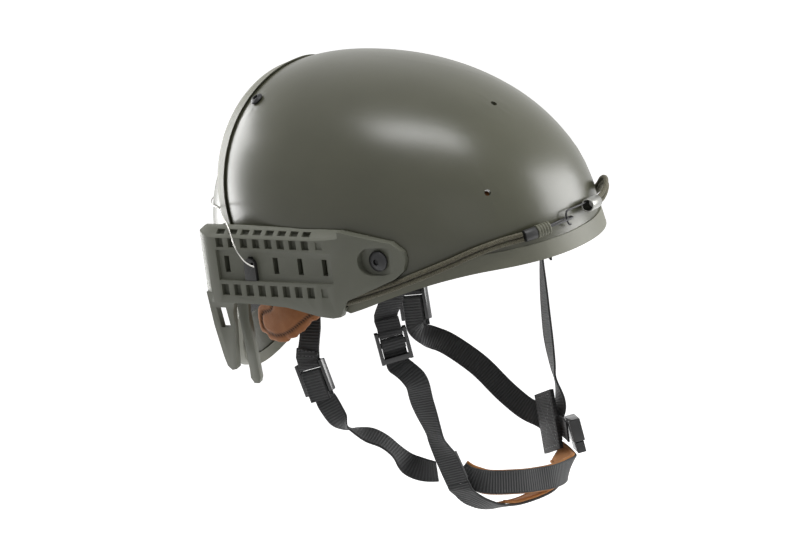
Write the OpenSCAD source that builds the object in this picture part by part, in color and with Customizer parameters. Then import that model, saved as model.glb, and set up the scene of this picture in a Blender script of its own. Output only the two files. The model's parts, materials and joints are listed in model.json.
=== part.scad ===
/* [Front shell] */
// Half length of the front shell ahead of its widest level
front_len = 144; // [136:1:152]
// Half length that the front shell would have behind, where the seam cuts it
back_len = 122; // [116:1:128]
// Half width of the front shell
half_w = 106.5; // [102:0.5:112]
// Height of the crown above the widest level
crown_h = 102; // [96:1:108]
// Distance that the crown lies behind the centre
crown_shift = 27; // [20:1:34]
// Thickness of both shells
wall = 4; // [3:0.25:5]
// Distance from the centre back to the seam
seam_back = 88; // [84:1:91]
// Depth of the brow rim below the widest level
brow_drop = 24.5; // [20:0.5:28]
// Depth of the rim at the front of the ear
ear_drop = 47; // [43:1:50]
// Depth of the rim over the ear, behind the rail
side_drop = 38; // [34:1:40]
// How far the seam leans forward between the widest level and the crown
seam_lean = 12; // [6:0.5:14]
// How far the seam curves forward at its feet, behind the rails
seam_foot = 5; // [3:0.5:7]
// How far the brow flares outwards at its rim
brow_flare = 4; // [2:0.5:6]
// Radius of the accessory and rear strap screw holes in the shell
screw_hole_r = 2.15; // [1.8:0.05:2.6]

/* [Rear shell] */
// How far the rear shell reaches back past the front shell's full half length
rear_reach = 19; // [16:0.5:22]
// How much narrower the rear shell is on each side than the front shell
rear_inset = 15; // [14.5:0.5:18]
// How far the rear shell's own crown lies below the front shell's
crown_tuck = 10; // [8:0.5:14]
// Depth of the rear shell's own widest level
rear_drop = 20; // [14:1:24]
// Depth of the rim at the middle of the nape below the widest level
nape_drop = 120; // [110:1:124]
// How far the rear shell reaches forward under the front shell
overlap = 26; // [22:1:30]

/* [Trims] */
// Height of the brow trim on the outside of the rim
trim_h = 10; // [8:0.5:12]
// Thickness of each side of a trim
trim_t = 1.3; // [1:0.1:1.6]
// Width of the seam trim on the outside of the front shell
seam_trim_w = 8; // [6:0.5:9]

/* [Rails] */
// How far a rail's outer face stands out past the front shell's widest level
rail_stand = 7.5; // [6:0.5:11]
// Thickness of a rail's plate where it stands free
rail_t = 10; // [8:0.5:11]
// Thickness of a rail's flange under its rear bolt
flange_t = 4.2; // [3.6:0.2:5]
// Pitch of the squares along a rail
square_pitch = 10; // [9.5:0.1:10.5]
// Width of the accessory channel in a rail
channel_h = 21.2; // [20:0.1:22]
// Depth of the accessory channel
channel_d = 3.2; // [2.5:0.1:3.6]
// Radius of the rail bolts' shanks
bolt_r = 2.5; // [2:0.1:3]

/* [Bungee] */
// Diameter of one bungee cord
bungee_d = 3.3; // [2.6:0.1:3.6]
// Diameter of the hook and loop wires
hook_wire_d = 1.4; // [1.1:0.1:1.5]
// Diameter of the thin steel wire round the back
steel_wire_d = 1; // [0.8:0.1:1.4]

/* [Straps] */
// Width of the webbing
web_w = 16; // [14:0.5:17]
// Thickness of the webbing
web_t = 1.4; // [1:0.1:1.6]
// Outer width of a ladder-lock buckle
lock_w = 22; // [21:0.5:24]
// Height of a ladder-lock buckle
lock_h = 24; // [22:0.5:26]
// Thickness of a ladder-lock buckle's side rails
lock_t = 5; // [4.6:0.2:6]

/* [Pads] */
// Thickness of the brow, crown and nape pads
pad_t = 13; // [9:1:16]
// Thickness of the suede side pads
side_pad_t = 9.5; // [8:0.5:11]

/* [Hidden] */

$fn = 48;
eps = 0.01;
fit_gap = 0.3;
bond_gap = 0.1;
profile_power = 2.14;
plan_power = 2.15;
rear_len = back_len + rear_reach;
rear_half_w = half_w - rear_inset;
rear_crown_h = crown_h - crown_tuck;
rail_out = half_w + rail_stand;

shell_grey = "#5b5b4c";
rail_grey = "#8a8c7e";
trim_grey = "#8b8b7c";
metal_dark = "#3a3a38";
metal_light = "#a9a9a4";
cord_tan = "#8d8a6c";
web_black = "#202020";
suede_tan = "#a8683a";
foam_black = "#2b2b2b";

// Smooth step from 0 to 1
function ease(t) = let (c = min(1, max(0, t))) c * c * (3 - 2 * c);
function unit(v) = v / norm(v);
function signed_pow(v, p) = sign(v) * pow(abs(v), p);
function mix(a, b, t) = a + (b - a) * t;

// Depth of the front shell's rim at a distance forward of the centre
function rim_z(x) =
  let (ear_x = 28, start_x = 115)
  x > ear_x ? -brow_drop - (ear_drop - brow_drop) * pow(max(0, (start_x - x) / (start_x - ear_x)), 1.6)
            : mix(-ear_drop, -side_drop, ease((ear_x - x) / 24));

// Plan of the front shell, as a point on the rim's level for a bearing, 0 ahead
function plan_xy(bearing, inset, grow) =
  let (c = cos(bearing), s = sin(bearing), along = (c > 0 ? front_len : back_len) - inset)
  [signed_pow(c, 2 / plan_power) * (along + grow), signed_pow(s, 2 / plan_power) * (half_w - inset + grow)];

// Point on the front shell below the widest level
function side_point(bearing, z, inset) =
  let (grow = brow_flare * pow(max(0, cos(bearing)), 3) * pow(min(1.3, max(0, -z / brow_drop)), 2),
       p = plan_xy(bearing, inset, grow))
  [p[0], p[1], z];

// Point on the front shell's dome, lift 0 at the crown and 1 at the widest level
function dome_point(bearing, lift, inset) =
  let (r = pow(sin(90 * lift), 2 / profile_power), h = pow(cos(90 * lift), 2 / profile_power),
       p = plan_xy(bearing, inset, 0))
  [p[0] * r - crown_shift * h, p[1] * r, (crown_h - inset) * h];

// The same over the whole shell, lift 2 at the rim
function shell_point(bearing, lift, inset) =
  lift <= 1 ? dome_point(bearing, lift, inset)
            : side_point(bearing, (lift - 1) * rim_z(plan_xy(bearing, 0, 0)[0]), inset);

// Half width of the dome at a distance forward and a height
function dome_y(x, z, inset) =
  let (h = z / (crown_h - inset), r = pow(1 - pow(h, profile_power), 1 / profile_power),
       c = abs(x + crown_shift * h) / ((x > 0 ? front_len : back_len) - inset) / r)
  (half_w - inset) * r * pow(max(0, 1 - pow(c, plan_power)), 1 / plan_power);

// The seam in the side view, as its distance forward at a height
seam_foot_h = 35;
function seam_x(z) =
  -seam_back + seam_lean * pow(max(0, z) / crown_h, 4) + seam_foot * pow(max(0, 1 - z / seam_foot_h), 2);
// Height of the seam on the middle plane, moved along by a distance
function seam_top(along, inset, low = 0, high = crown_h, steps = 24) =
  let (m = (low + high) / 2)
  steps == 0 ? low : dome_y(seam_x(m) + along, m, inset) > 0 ? seam_top(along, inset, m, high, steps - 1)
                                                             : seam_top(along, inset, low, m, steps - 1);
// Point of the seam: turn 0 on the left, 90 on top and 180 on the right
function seam_point(turn, along, inset) =
  let (z = seam_top(along, inset) * sin(turn), x = seam_x(z) + along)
  [x, sign(cos(turn)) * dome_y(x, z, inset), z];

// Half width of the front shell's plan at a distance forward
function plan_y(x) = half_w * pow(1 - pow(abs(x) / (x > 0 ? front_len : back_len), plan_power),
                                  1 / plan_power);

// Bearing at which the rim meets the seam
function bearing_at_x(x) = let (c = pow(abs(x) / (x > 0 ? front_len : back_len), plan_power / 2))
  x > 0 ? acos(c) : 180 - acos(c);

// Outward direction of the front shell at a point of the dome
function dome_normal(bearing, lift) =
  let (a = dome_point(bearing + 0.5, lift, 0) - dome_point(bearing - 0.5, lift, 0),
       b = dome_point(bearing, lift + 0.005, 0) - dome_point(bearing, lift - 0.005, 0))
  unit(cross(b, a));

// Rear shell: bearing 0 straight back, 90 to the left
rear_shift = 10;
rear_power = 1.98;
rear_taper = 0.025;
function rear_size(z, inset) =
  let (h = max(0, z + rear_drop) / (rear_crown_h + rear_drop - inset),
       r = z > -rear_drop ? pow(max(0, 1 - pow(h, rear_power)), 1 / rear_power)
                          : 1 - rear_taper * pow((-z - rear_drop) / 80, 1.5))
  [(rear_len - inset) * r, (rear_half_w - inset) * r, -rear_shift * h];
function rear_point(bearing, z, inset) =
  let (s = rear_size(z, inset))
  [s[2] - s[0] * cos(bearing), s[1] * sin(bearing), z];
// Height of the rear rim, from the ears down to the middle of the nape
rear_side_z = -side_drop - 5;
rear_edge_x = -80;
function rear_rim_z(bearing) =
  rear_side_z - (nape_drop + rear_side_z) * pow(max(0, cos(90 * bearing / rear_edge_bearing)), 0.9);
function rear_bearing_at_x(x, z, inset) =
  let (s = rear_size(z, inset))
  acos(min(1, max(-1, (s[2] - x) / max(eps, s[0]))));
function rear_normal(bearing, z) =
  let (a = rear_point(bearing + 0.5, z, 0) - rear_point(bearing - 0.5, z, 0),
       b = rear_point(bearing, z + 0.5, 0) - rear_point(bearing, z - 0.5, 0))
  unit(cross(b, a));

// Two triangles between four points, the cell of a grid, and the same faces turned over
function quad(a, b, c, d) = [[a, b, c], [a, c, d]];
function cell(at, r, c, s) = quad(at(r, c, s), at(r, c + 1, s), at(r + 1, c + 1, s), at(r + 1, c, s));
function turned(faces) = [for (f = faces) [f[0], f[2], f[1]]];
// Strip that closes the edge between the outer and the inner grid along a row or a column
function row_strip(at, r, c) = quad(at(r, c, 0), at(r, c, 1), at(r, c + 1, 1), at(r, c + 1, 0));
function col_strip(at, r, c) = quad(at(r, c, 0), at(r, c, 1), at(r + 1, c, 1), at(r + 1, c, 0));

// Faces of a closed sheet from two grids of rows by columns, outer points first
function sheet_faces(rows, cols) =
  let (n = rows * cols, at = function(r, c, s) s * n + r * cols + c)
  [for (r = [0:rows - 2], c = [0:cols - 2], f = cell(at, r, c, 0)) f,
   for (r = [0:rows - 2], c = [0:cols - 2], f = turned(cell(at, r, c, 1))) f,
   for (c = [0:cols - 2], f = row_strip(at, 0, c)) f,
   for (c = [0:cols - 2], f = turned(row_strip(at, rows - 1, c))) f,
   for (r = [0:rows - 2], f = turned(col_strip(at, r, 0))) f,
   for (r = [0:rows - 2], f = col_strip(at, r, cols - 1)) f];

// Faces of a tube swept from closed rings, with flat ends
function sweep_faces(rings, sides) =
  let (at = function(i, k) i * sides + k % sides)
  [for (i = [0:rings - 2], k = [0:sides - 1],
        f = quad(at(i, k), at(i, k + 1), at(i + 1, k + 1), at(i + 1, k))) f,
   for (k = [1:sides - 2]) [0, k + 1, k],
   for (k = [1:sides - 2]) [at(rings - 1, 0), at(rings - 1, k), at(rings - 1, k + 1)]];
module swept(rings) {
  sides = len(rings[0]);
  polyhedron(points = [for (ring = rings, p = ring) p], faces = sweep_faces(len(rings), sides));
}

// Smooth curve through hand-chosen points
function curve_at(p, i, t) =
  let (a = p[max(0, i - 1)], b = p[i], c = p[min(len(p) - 1, i + 1)], d = p[min(len(p) - 1, i + 2)])
  0.5 * (2 * b + (c - a) * t + (2 * a - 5 * b + 4 * c - d) * t * t + (3 * b - a - 3 * c + d) * t * t * t);
function curve(p, steps) =
  [for (i = [0:len(p) - 2], k = [0:steps - 1]) curve_at(p, i, k / steps), p[len(p) - 1]];
function tangent(p, i) = unit(p[min(len(p) - 1, i + 1)] - p[max(0, i - 1)]);

// Round cord along a list of points
module cord(points, d, sides = 8) {
  swept([for (i = [0:len(points) - 1])
    let (t = tangent(points, i), up = abs(t[2]) > 0.9 ? [1, 0, 0] : [0, 0, 1], a = unit(cross(t, up)),
         b = cross(t, a))
    [for (k = [0:sides - 1]) points[i] + d / 2 * (a * cos(360 * k / sides) - b * sin(360 * k / sides))]]);
}

// Flat webbing along points, each with the direction of its width, lifted off them by a distance
module web(points, widths, w = web_w, t = web_t, lift = 0) {
  swept([for (i = [0:len(points) - 1])
    let (along = tangent(points, i), side = unit(widths[i] - along * (widths[i] * along)),
         out = cross(along, side), mid = points[i] + out * lift)
    [mid - side * w / 2 - out * t / 2, mid - side * w / 2 + out * t / 2,
     mid + side * w / 2 + out * t / 2, mid + side * w / 2 - out * t / 2]]);
}
module web_route(route, steps = 4, w = web_w, t = web_t, lift = 0) {
  web(curve([for (r = route) r[0]], steps), curve([for (r = route) r[1]], steps), w, t, lift);
}

// Turns a part that is built along +Z so that it points along a direction
module aim(at, direction) {
  d = unit(direction);
  translate(at)
    rotate([0, acos(d[2]), atan2(d[1], d[0])])
      children();
}

// Screw holes of the front shell: bearing and lift of each
low_hole_bearing = 31.5;
function hole_bearing_lift() = [[0, 0.535], [-low_hole_bearing, 0.862], [low_hole_bearing, 0.862]];
crown_bolt_bearing = 123.5;
crown_bolt_lift = 0.395;
rail_bolt_x = 53;
rail_bolt_z = -11;
rail_rear_bearing = 41;
rail_rear_z = -18;

// The front anchor straps lie flat between the shell and the rail nuts
nut_h = 3;
strap_gap = 0.7;
function pad_plan_y(x, inset) =
  (half_w - inset) * pow(1 - pow(abs(x) / ((x > 0 ? front_len : back_len) - inset), plan_power),
                         1 / plan_power);
front_strap_y = pad_plan_y(rail_bolt_x + web_w / 2, wall) - web_t / 2 - strap_gap;

// Bores through a shell, along its outward direction
module bore(at, direction, r) {
  aim(at - direction * 12, direction)
    cylinder(h = 24, r = r);
}

// Front shell: a whole dome of rows and columns, cut off behind along the seam and the slanted ear corners
shell_rows = 20;
shell_cols = 80;
ear_corner_x = -74;
ear_bearing = bearing_at_x(ear_corner_x);
function row_lift(t) = t < 0.75 ? t / 0.75 : 1 + (t - 0.75) * 4;
// Everything behind the seam, above and below the ear corners
module behind_seam() {
  far = 200;
  rotate([90, 0, 0])
    linear_extrude(height = 2 * far, center = true)
      polygon(concat([for (z = [crown_h + 8:-6:0]) [seam_x(z), z]],
                     [[seam_x(0), 0], [ear_corner_x, -side_drop], [ear_corner_x, -far], [-far, -far],
                      [-far, crown_h + 8]]));
}

module front_shell() {
  grid = [for (inset = [0, wall], r = [1:shell_rows], c = [0:shell_cols - 1])
    shell_point(360 * c / shell_cols, row_lift(r / shell_rows), inset)];
  points = concat(grid, [dome_point(0, 0, 0)], [dome_point(0, 0, wall)]);
  n = shell_rows * shell_cols;
  at = function(r, c, s) s * n + r * shell_cols + c % shell_cols;
  color(shell_grey)
    difference() {
      polyhedron(points = points, faces = [
        for (c = [0:shell_cols - 1]) [2 * n, at(0, c + 1, 0), at(0, c, 0)],
        for (c = [0:shell_cols - 1]) [2 * n + 1, at(0, c, 1), at(0, c + 1, 1)],
        for (r = [0:shell_rows - 2], c = [0:shell_cols - 1], f = cell(at, r, c, 0)) f,
        for (r = [0:shell_rows - 2], c = [0:shell_cols - 1], f = turned(cell(at, r, c, 1))) f,
        for (c = [0:shell_cols - 1], f = turned(row_strip(at, shell_rows - 1, c))) f]);
      behind_seam();
      for (h = hole_bearing_lift())
        bore(dome_point(h[0], h[1], wall / 2), dome_normal(h[0], h[1]), screw_hole_r);
      for (side = [-1, 1]) {
        rear_screw_frame(side)
          cylinder(h = 12, r = screw_hole_r);
        bore(dome_point(side * crown_bolt_bearing, crown_bolt_lift, 0),
             dome_normal(side * crown_bolt_bearing, crown_bolt_lift), bolt_r + 0.05);
        bore([rail_bolt_x, side * plan_y(rail_bolt_x), rail_bolt_z], [0, side, 0], bolt_r + 0.05);
      }
    }
}

// Rear shell, a sheet whose rows run round the back
rear_front_x = -seam_back + overlap;
rear_cols = 33;
function rear_top_z(inset, low = 0, high = rear_crown_h, steps = 24) =
  let (m = (low + high) / 2, p = rear_size(m, inset))
  steps == 0 ? m : p[2] - p[0] < rear_front_x ? rear_top_z(inset, m, high, steps - 1)
                                               : rear_top_z(inset, low, m, steps - 1);
rear_edge_bearing = rear_bearing_at_x(rear_edge_x, rear_side_z, 0);
rear_high_rows = 9;
rear_low_levels = [0, -12, -22, -30, -35];
rear_level_rows = rear_high_rows + len(rear_low_levels);
function rear_level(row, inset) =
  row < rear_high_rows ? rear_top_z(inset) * cos(mix(5, 80, row / (rear_high_rows - 1)))
                       : rear_low_levels[row - rear_high_rows];
rear_low_rows = 8;
// Front edge of the rear shell at a level, under the front shell and then back to its rim
function rear_edge_at(z) = mix(rear_front_x, rear_edge_x, ease((-z - side_drop + 8) / 5));
function rear_level_point(row, t, inset) =
  let (z = rear_level(row, inset))
  rear_point(t * rear_bearing_at_x(rear_edge_at(z), z, inset), z, inset);
function rear_skirt_point(row, t, inset) =
  let (b = t * rear_edge_bearing, last = rear_level_rows - 1)
  rear_point(b, mix(rear_level(last, inset), rear_rim_z(b), (row - last) / rear_low_rows), inset);
function rear_grid_point(row, c, inset) =
  let (t = mix(1, -1, c / (rear_cols - 1)))
  row < rear_level_rows ? rear_level_point(row, t, inset) : rear_skirt_point(row, t, inset);

module rear_shell() {
  rows = rear_level_rows + rear_low_rows;
  grid = [for (inset = [0, wall], r = [0:rows - 1], c = [0:rear_cols - 1]) rear_grid_point(r, c, inset)];
  color(shell_grey)
    difference() {
      polyhedron(points = grid, faces = sheet_faces(rows, rear_cols));
      for (side = [-1, 1]) {
        bore(crown_bolt_seat(side), dome_normal(side * crown_bolt_bearing, crown_bolt_lift), bolt_r + 0.05);
        rear_bolt_frame(side, -12)
          cylinder(h = 24, r = bolt_r + 0.05);
      }
    }
}
// Depth from the front shell's outside to the rear shell's outside at a crown bolt
function outside_rear(q) =
  let (r = rear_size(q[2], 0))
  pow((q[0] - r[2]) / r[0], 2) + pow(q[1] / r[1], 2) > 1;
function below_crown_bolt(depth) =
  dome_point(crown_bolt_bearing, crown_bolt_lift, 0)
  - depth * dome_normal(crown_bolt_bearing, crown_bolt_lift);
function crown_bolt_depth(low = 0, high = 30, steps = 22) =
  let (m = (low + high) / 2)
  steps == 0 ? m
  : outside_rear(below_crown_bolt(m)) ? crown_bolt_depth(m, high, steps - 1)
                                      : crown_bolt_depth(low, m, steps - 1);
crown_depth = crown_bolt_depth();
function crown_bolt_seat(side) =
  dome_point(side * crown_bolt_bearing, crown_bolt_lift, 0)
  - dome_normal(side * crown_bolt_bearing, crown_bolt_lift) * (crown_depth + wall / 2);

// Trims fold over an edge: distances into the shell from its outside, and along it from the edge
function trim_profile(height, slack = 0) =
  let (outside = -trim_t - slack, inside = wall + trim_t + slack, seat = wall + fit_gap + slack)
  [[outside, height], [outside, -trim_t], [inside, -trim_t], [inside, height - 2],
   [seat, height - 2], [seat, -fit_gap], [-bond_gap - slack, -fit_gap], [-bond_gap - slack, height]];
module brow_trim() {
  pitch = 360 / shell_cols;
  last = floor(ear_bearing / pitch);
  bearings = concat([ear_bearing], [for (k = [last:-1:-last]) k * pitch], [-ear_bearing]);
  color(trim_grey)
    swept([for (b = bearings)
      let (rim = rim_z(plan_xy(b, 0, 0)[0]))
      [for (p = trim_profile(trim_h)) side_point(b, rim + p[1], p[0])]]);
}

// The seam trim runs up one slanted ear corner, over the seam and down the other corner
seam_turns = 36;
corner_levels = [-26, -17, -8];
function corner_point(z, side, along, inset) =
  let (x = mix(seam_x(0), ear_corner_x, -z / side_drop) + along) [x, side * pad_plan_y(x, inset), z];
module seam_trim() {
  profile = trim_profile(seam_trim_w, 0.15);
  color(trim_grey)
    swept(concat(
      [for (z = corner_levels) [for (p = profile) corner_point(z, -1, p[1], p[0])]],
      [for (i = [seam_turns:-1:0]) [for (p = profile) seam_point(180 * i / seam_turns, p[1], p[0])]],
      [for (z = reversed(corner_levels)) [for (p = profile) corner_point(z, 1, p[1], p[0])]]));
}

// The nape trim hangs on the rear rim, square to it
mm_per_degree = 2.2;
function rim_inward(b) =
  let (rise = (rear_rim_z(b + 0.5) - rear_rim_z(b - 0.5)) / mm_per_degree) unit([-rise, 1]);
module nape_trim() {
  stations = 44;
  color(trim_grey)
    swept([for (i = [0:stations])
      let (b = mix(-1, 1, i / stations) * (rear_edge_bearing - 1.5), d = rim_inward(b))
      [for (p = [[-trim_t, 6], [-trim_t, -trim_t - 0.4], [wall + trim_t, -trim_t - 0.4], [wall + trim_t, 6],
                 [wall + bond_gap + 0.1, 6], [wall + bond_gap + 0.1, -0.4], [-bond_gap, -0.4],
                 [-bond_gap, 6]])
        rear_point(b + d[0] * p[1] / mm_per_degree, rear_rim_z(b) + d[1] * p[1], p[0])]]);
}

function reversed(list) = [for (i = [len(list) - 1:-1:0]) list[i]];

// Right rail, built on the wearer's right side; the left one is its mirror image
rail_gap = 0.5;
trim_relief = trim_t + 0.6;
relief_top = -25;
rail_top = 10.5;
rail_bottom = -42;
square_x = [for (k = [0:7]) -69 + square_pitch * k];
slot_x = [-67, -47, -27, -7, 13];
panel_z = -15.4;
upper_square_z = 0.4;
lower_square_z = -32.6;

module rail_side_view() {
  polygon([[-112, -6], [-96, -1], [-84, rail_top], [0, rail_top], [28, 10], [45, 6], [63, 1], [70, -6],
           [71, -12], [69, -19], [63, -24], [28, -38], [22, -49], [16, -50], [6, -49], [-20, -43.5],
           [-45, rail_bottom], [-112, rail_bottom]]);
}
module rail_plan_view() {
  shell_side = [for (x = [72:-6:-24]) [x, -plan_y(x) - rail_gap]];
  flange = [for (x = [-94:-3:-109]) [x, -rear_plan_y(x) - 0.6]];
  polygon(concat(
    [[73, -plan_y(73) - 4.5], [60, -plan_y(60) - 6.5], [45, -plan_y(45) - 7.4], [20, -rail_out + 0.8],
     [8, -rail_out], [-74, -rail_out]],
    [for (a = [10:10:60]) [-76 - 16 * sin(a), -rail_out + 16 * (1 - cos(a))]],
    [[-95, -rail_out + 20], [-98, -rail_out + 30], [-111, -rear_plan_y(-109) - flange_t - 1]],
    reversed(flange),
    [[-92, -rail_out + 26], [-89, -rail_out + 16], [-84, -rail_out + rail_t]],
    [[-50, -rail_out + rail_t]],
    reversed(shell_side)));
}
function rear_plan_y(x) = rear_half_w * sqrt(1 - pow(x / rear_len, 2));

// Two prongs that reach down from the rail's rear corner
module rail_prong(depth, lean, thick, outline) {
  translate([0, -rail_out + depth, rail_bottom + 4])
    rotate([lean, 0, 0])
      rotate([90, 0, 0])
        linear_extrude(height = thick)
          polygon(outline);
}
module rail_arm() {
  difference() {
    rail_prong(6.5, 11, 5, [[-86, 4], [-87, -22], [-86, -46], [-85, -53], [-82, -56], [-78, -55],
                            [-72, -28], [-68, -10], [-62, 4]]);
    translate([-77.5, -rail_out, rail_bottom - 12])
      cube([8, 30, 15], center = true);
  }
  rail_prong(17.5, 11, 4, [[-74, 6], [-73, -10], [-77, -60], [-78, -66], [-76, -70], [-72, -70],
                           [-70, -66], [-66, -20], [-60, 6]]);
}

module right_rail_body() {
  difference() {
    union() {
      intersection() {
        rotate([90, 0, 0])
          linear_extrude(height = rail_out + 10)
            rail_side_view();
        translate([0, 0, -60])
          linear_extrude(height = 80)
            rail_plan_view();
      }
      rail_arm();
      // Bridge from the plate to the inner prong
      translate([-72, -rail_out + rail_t - 1, rail_bottom + 1])
        cube([11, 8.2, 9]);
    }
    // Room for the brow trim under the lower edge
    translate([0, 0, -60])
      linear_extrude(height = 60 + relief_top)
        polygon(concat([for (x = [78:-6:-66]) [x, -plan_y(x) - trim_relief]], [[-66, -60], [78, -60]]));
    // Chamfer along the top, with its row of slots
    translate([-120, -rail_out, 4])
      rotate([41, 0, 0])
        translate([0, -20, 0])
          cube([147, 30, 20]);
    for (x = square_x)
      translate([x, -rail_out + 3.75, 7.25])
        rotate([41, 0, 0])
          cube([6.4, 4.2, 6], center = true);
    // Accessory channel between the guides
    translate([-73, -rail_out - 1, panel_z - channel_h / 2])
      cube([93, channel_d + 1, channel_h]);
    for (x = slot_x)
      translate([x, -rail_out, panel_z])
        cube([4, 40, 11.4], center = true);
    for (x = square_x) {
      translate([x, -rail_out, upper_square_z])
        cube([5.8, 8, 6.4], center = true);
      translate([x, -rail_out, lower_square_z])
        cube([5.8, 8, 7.8], center = true);
    }
    translate([square_x[7] + 11, -rail_out, upper_square_z])
      cube([5, 2.6, 5], center = true);
    translate([square_x[7] + 11, -rail_out, lower_square_z])
      cube([5, 2.6, 6], center = true);
    // Vertical slot in the rear corner
    translate([-98, -rail_out + 14, -22])
      cube([24, 5, 28], center = true);
    // Pocket and bore of the front bolt
    translate([rail_bolt_x, -plan_y(rail_bolt_x) - 3.6, rail_bolt_z])
      rotate([90, 0, 0]) {
        for (dx = [-4, 4])
          translate([dx, 0, 0])
            cylinder(h = 20, r = 9.5);
        translate([-4, -9.5, 0])
          cube([8, 19, 20]);
        translate([0, 0, -10])
          cylinder(h = 30, r = bolt_r + 0.05);
      }
    // Spot face and bore of the rear bolt
    rear_bolt_frame(-1, flange_t)
      cylinder(h = 20, r = 6.3);
    rear_bolt_frame(-1, -12)
      cylinder(h = 24, r = bolt_r + 0.05);
    // Passages that hold the bungee's ends
    for (which = [-1, 1]) {
      p = bungee_points(side_bungee, -1, which);
      aim(p[0], p[bungee_steps] - p[0])
        translate([0, 0, -1])
          cylinder(h = 36, r = bungee_d / 2 + 1);
    }
  }
}
function rail_rear_seat(side) = rear_point(side * rail_rear_bearing, rail_rear_z, 0);
module rear_bolt_frame(side, along) {
  n = rear_normal(side * rail_rear_bearing, rail_rear_z);
  aim(rail_rear_seat(side) + n * along, n)
    children();
}

module right_rail() {
  color(rail_grey)
    right_rail_body();
}
module left_rail() {
  color(rail_grey)
    mirror([0, 1, 0])
      right_rail_body();
}

// Button-head bolt that points along +Z from its shank's tip
module button_bolt(shank, head_r, head_h) {
  difference() {
    union() {
      cylinder(h = shank, r = bolt_r);
      translate([0, 0, shank])
        intersection() {
          cylinder(h = head_h, r = head_r);
          translate([0, 0, head_h - head_r * 1.6])
            sphere(r = head_r * 1.6);
        }
    }
    translate([0, 0, shank + head_h - 2.4])
      cylinder(h = 4, r = 2.3, $fn = 6);
  }
}
rail_bolt_shank = plan_y(rail_bolt_x) + 3.6 - front_strap_y + web_t / 2 + nut_h + 1;
rear_bolt_shank = flange_t + wall + 5;
module rail_bolts() {
  color(metal_dark)
    for (side = [-1, 1]) {
      aim([rail_bolt_x, side * (plan_y(rail_bolt_x) + 3.6 + 0.02 - rail_bolt_shank), rail_bolt_z],
          [0, side, 0])
        button_bolt(rail_bolt_shank, 7, 4.4);
      rear_bolt_frame(side, flange_t + 0.02 - rear_bolt_shank)
        button_bolt(rear_bolt_shank, 5.5, 3);
    }
}

// Nuts inside the shells
module nut() {
  difference() {
    cylinder(h = nut_h, r = 6);
    translate([0, 0, -1])
      cylinder(h = nut_h + 2, r = bolt_r + 0.05);
  }
}
module rail_nuts() {
  color(metal_light)
    for (side = [-1, 1]) {
      aim([rail_bolt_x, side * (front_strap_y - web_t / 2 - fit_gap - nut_h), rail_bolt_z], [0, side, 0])
        nut();
      rear_bolt_frame(side, -wall - 0.7 - nut_h)
        nut();
    }
}

// Bolts, spacers and nuts that join the two shells behind the crown
spacer_gap = 0.8;
spacer_h = crown_depth - wall - 2 * spacer_gap;
module crown_bolts() {
  color(metal_dark)
    for (side = [-1, 1]) {
      n = dome_normal(side * crown_bolt_bearing, crown_bolt_lift);
      aim(dome_point(side * crown_bolt_bearing, crown_bolt_lift, 0) - n * (crown_depth + wall + 5), n)
        button_bolt(crown_depth + wall + 5.4, 4.6, 2.6);
    }
}
module crown_spacers() {
  color(metal_light)
    for (side = [-1, 1]) {
      n = dome_normal(side * crown_bolt_bearing, crown_bolt_lift);
      aim(dome_point(side * crown_bolt_bearing, crown_bolt_lift, 0) - n * (wall + spacer_gap + spacer_h), n)
        difference() {
          cylinder(h = spacer_h, r = 4);
          translate([0, 0, -1])
            cylinder(h = spacer_h + 2, r = bolt_r + 0.05);
        }
    }
}
module crown_nuts() {
  color(metal_light)
    for (side = [-1, 1]) {
      n = dome_normal(side * crown_bolt_bearing, crown_bolt_lift);
      aim(crown_bolt_seat(side) - n * (wall / 2 + 1.6 + nut_h), n)
        nut();
    }
}

// Bungee over the rim: bearing, height and stand-off of each chosen point
bungee_stand = bungee_d / 2 + 0.35;
over_trim = bungee_stand + trim_t + bond_gap;
fitting_r = 4.6;
fitting_stand = fitting_r + 0.4;
fitting_gap = 0.9;
side_bungee = [[82, -39, over_trim], [75, -34.5, over_trim], [66, -28, over_trim], [58, -22, over_trim],
               [50, -16.5, over_trim], [42, -11.5, bungee_stand + 0.8]];
// Distances of the bungees' front ends from the middle plane
right_end_y = 49.6;
left_end_y = 22.8;
function bearing_at_y(y) = sign(y) * asin(pow(abs(y) / half_w, plan_power / 2));
right_bungee_route =
  concat(side_bungee, [[33, -8.3, bungee_stand + 0.5], [bearing_at_y(right_end_y), -6.8, fitting_stand]]);
left_bungee_route =
  concat(side_bungee, [[34, -5, 3], [28, 2, 5], [22.5, 4.5, 8], [18.5, 1.5, 8.5], [14.5, -2, 7],
                       [bearing_at_y(left_end_y), -3.2, fitting_stand]]);
function on_brow(route, side = 1) = [for (r = route) side_point(side * r[0], r[1], -r[2])];
bungee_steps = 4;
// Centre line of one cord of the pair, 1 above and -1 below
function bungee_points(route, side, which) =
  let (p = curve(on_brow(route, side), bungee_steps))
  [for (i = [0:len(p) - 1])
    let (u = unit(cross(unit([p[i][0], 1.8 * p[i][1], 0]), tangent(p, i))))
    p[i] + u * sign(u[2]) * which * (bungee_d / 2 + 0.1)];
module bungee_pair(route, side) {
  for (which = [-1, 1])
    cord(bungee_points(route, side, which), bungee_d);
}
module right_bungee() {
  color(cord_tan)
    bungee_pair(right_bungee_route, -1);
}
module left_bungee() {
  color(cord_tan)
    bungee_pair(left_bungee_route, 1);
}

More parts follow.
